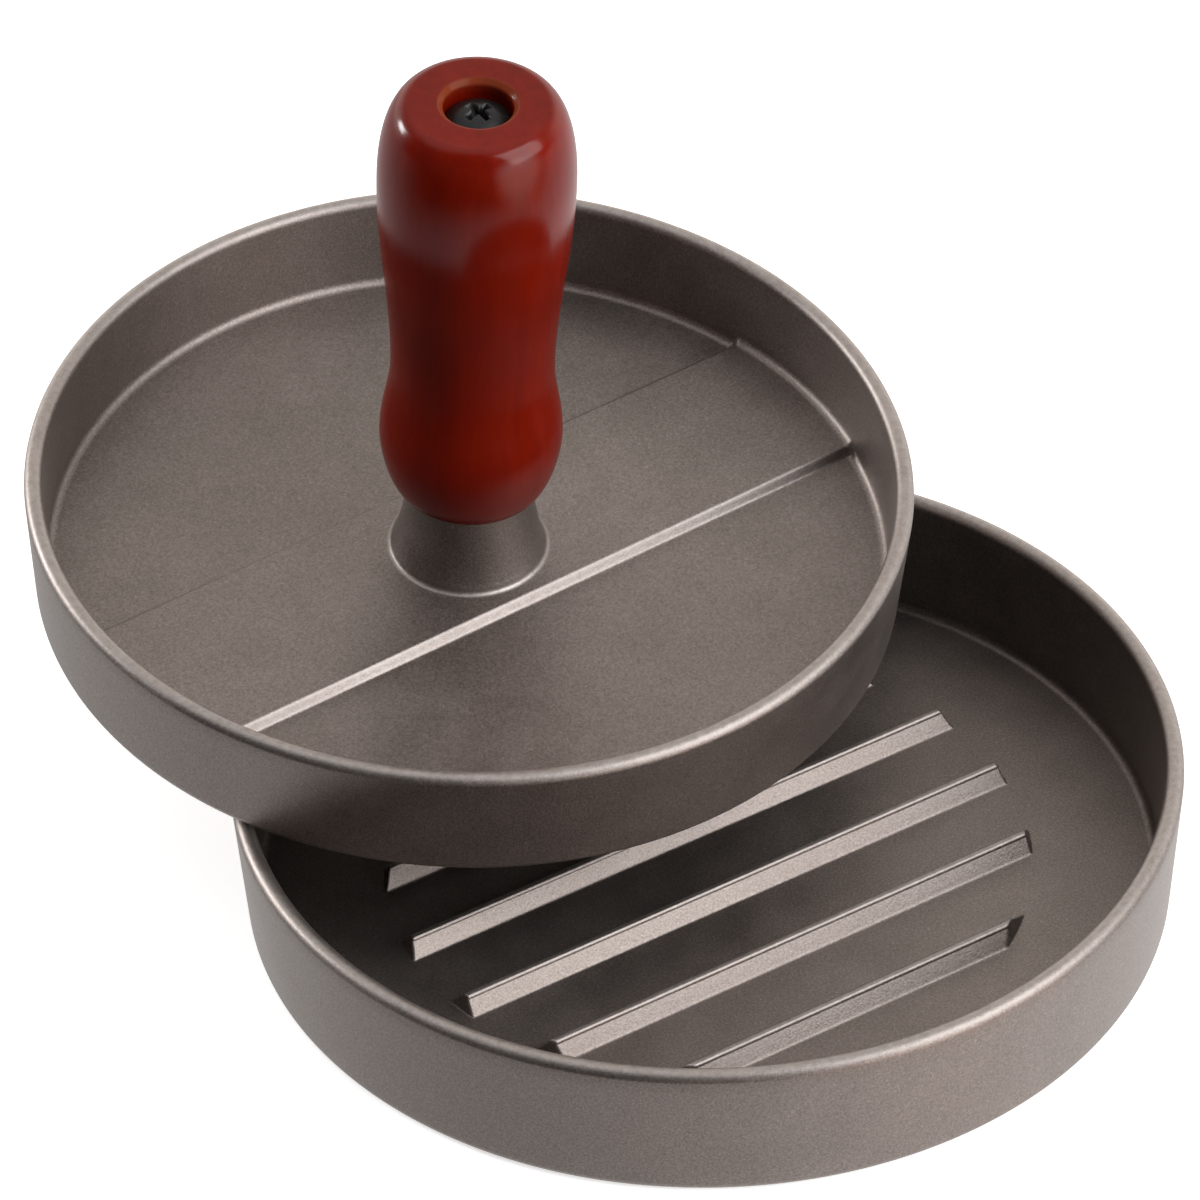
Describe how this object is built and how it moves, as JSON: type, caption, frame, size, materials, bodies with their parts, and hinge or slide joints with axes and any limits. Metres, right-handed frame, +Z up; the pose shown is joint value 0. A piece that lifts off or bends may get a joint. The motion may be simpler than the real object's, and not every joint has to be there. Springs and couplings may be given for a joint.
{
  "type": "patty press",
  "caption": "Round cast-aluminium patty press: a mould pan with raised sear ribs, and a loose dished press plate with a turned wooden handle.",
  "frame": {"origin": "centre of the mould pan's foot, on the surface it stands on", "axes": "+X along the sear ribs, +Z up out of the pan's mouth; the press lies towards +Y and leans towards -Y"},
  "size_m": [0.1236, 0.1621, 0.0996],
  "materials": {
    "coated_aluminium": "fine-flake warm grey non-stick coating on cast aluminium, semi-gloss",
    "lacquered_wood": "turned hardwood, red-brown stain under gloss lacquer",
    "zinc_steel": "zinc-plated steel",
    "black_steel": "black oxide steel, satin"
  },
  "bodies": {
    "mould": {"mould_pan": "coated_aluminium"},
    "press": {"press_plate": "coated_aluminium", "handle": "lacquered_wood", "screw_washer": "zinc_steel", "handle_screw": "black_steel"}
  },
  "joints": [
    {"name": "press_lift", "type": "slide", "parent": "mould", "child": "press", "axis": [0, 0, 1], "range_m": [0, 0.1]}
  ]
}
